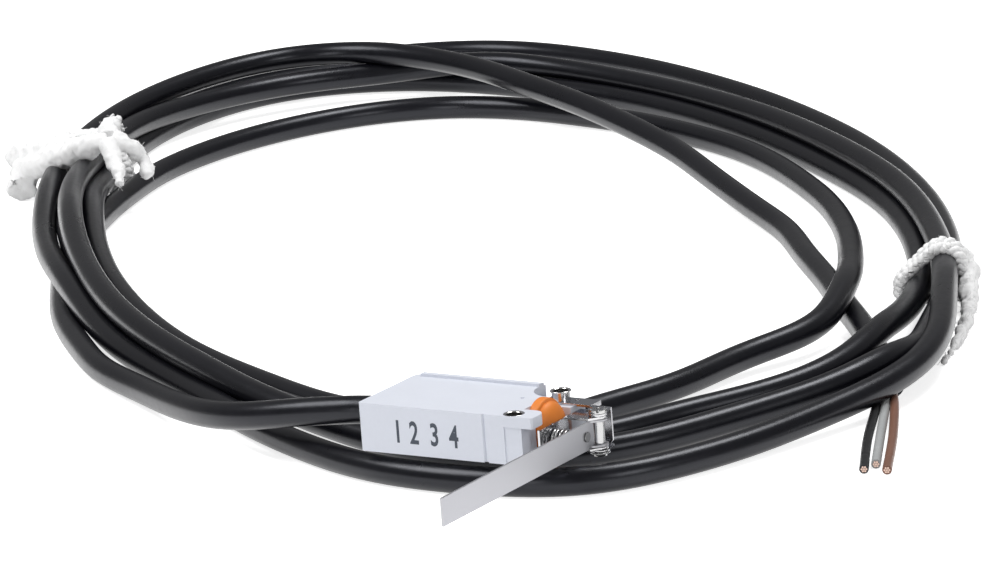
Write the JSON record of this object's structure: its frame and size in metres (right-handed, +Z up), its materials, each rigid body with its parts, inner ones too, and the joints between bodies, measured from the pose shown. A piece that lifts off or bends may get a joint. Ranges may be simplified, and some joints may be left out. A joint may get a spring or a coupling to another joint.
{
  "type": "plunger limit switch",
  "caption": "Sealed plunger limit switch with a hinged lever blade, eyelet mounting holes and a coiled three-core lead tied with cord.",
  "frame": {"origin": "axis of the front mounting hole at the housing's underside", "axes": "+X from the cable end towards the plunger, +Y from the front hole to the rear hole, +Z up out of the housing's top face"},
  "size_m": [0.4189, 0.4914, 0.0224],
  "materials": {
    "housing": "satin moulded white plastic",
    "eyelet": "polished plating",
    "polished_sheet": "polished sheet",
    "pin_steel": "polished",
    "blade_steel": "satin sheet",
    "spring_steel": "drawn wire",
    "boot_rubber": "orange silicone rubber",
    "plunger_plastic": "moulded",
    "contact_alloy": "rolled spring alloy",
    "contact_silver": "silver contact",
    "terminal_brass": "stamped strip",
    "seal_rubber": "black rubber",
    "clamp_plastic": "moulded",
    "cable_sheath": "soft black sheath",
    "core_black": "insulation",
    "core_grey": "insulation",
    "core_brown": "insulation",
    "copper": "cut copper strands",
    "tie_cord": "fluffy cotton cord"
  },
  "bodies": {
    "housing_unit": {"housing_base": "housing", "housing_cover": "housing", "front_eyelet": "eyelet", "rear_eyelet": "eyelet", "lever_bracket": "polished_sheet", "hinge_pin": "pin_steel", "pin_washer": "pin_steel", "plunger_spring": "spring_steel", "plunger_boot": "boot_rubber", "fixed_contact_closed": "contact_silver", "fixed_contact_open": "contact_silver", "closed_terminal": "terminal_brass", "open_terminal": "terminal_brass", "common_terminal": "terminal_brass", "cable_seal": "seal_rubber", "cable_clamp": "clamp_plastic", "cable_entry": "cable_sheath", "cable_lead": "cable_sheath", "cable_coil": "cable_sheath", "cable_end": "cable_sheath", "inner_core_black": "core_black", "tail_core_black": "core_black", "inner_core_grey": "core_grey", "tail_core_grey": "core_grey", "inner_core_brown": "core_brown", "tail_core_brown": "core_brown", "copper_ends": "copper", "left_tie": "tie_cord", "right_tie": "tie_cord"},
    "plunger_unit": {"plunger": "plunger_plastic"},
    "snap_unit": {"snap_blade": "contact_alloy", "snap_spring": "contact_alloy", "moving_contact": "contact_silver"},
    "arm_unit": {"lever_arm": "polished_sheet", "overtravel_spring": "spring_steel"},
    "blade_unit": {"lever_blade": "blade_steel", "blade_rivet": "pin_steel"}
  },
  "joints": [
    {"name": "arm_hinge", "type": "hinge", "parent": "housing_unit", "child": "arm_unit", "pos_m": [0.0134, 0.017, 0.0042], "axis": [0, 0, -1], "range_deg": [0, 8], "stiffness_Nm_per_rad": 0.3},
    {"name": "blade_overtravel", "type": "hinge", "parent": "arm_unit", "child": "blade_unit", "pos_m": [0.0134, 0.017, 0.0042], "axis": [0, 0, -1], "range_deg": [0, 7], "stiffness_Nm_per_rad": 0.4, "deforming": ["overtravel_spring"]},
    {"name": "plunger_travel", "type": "slide", "parent": "housing_unit", "child": "plunger_unit", "axis": [1, 0, 0], "range_m": [-0.0009, 0], "deforming": ["plunger_spring", "plunger_boot"]},
    {"name": "snap_turn", "type": "hinge", "parent": "housing_unit", "child": "snap_unit", "pos_m": [-0.01535, 0.001, 0.0063], "axis": [0, 0, 1], "range_deg": [0, 5.4], "stiffness_Nm_per_rad": 0.001}
  ],
  "couplings": [
    {"joint": "plunger_travel", "follows": "arm_hinge", "m_per_rad": -0.0064},
    {"joint": "snap_turn", "follows": "arm_hinge", "ratio": 0.66}
  ]
}
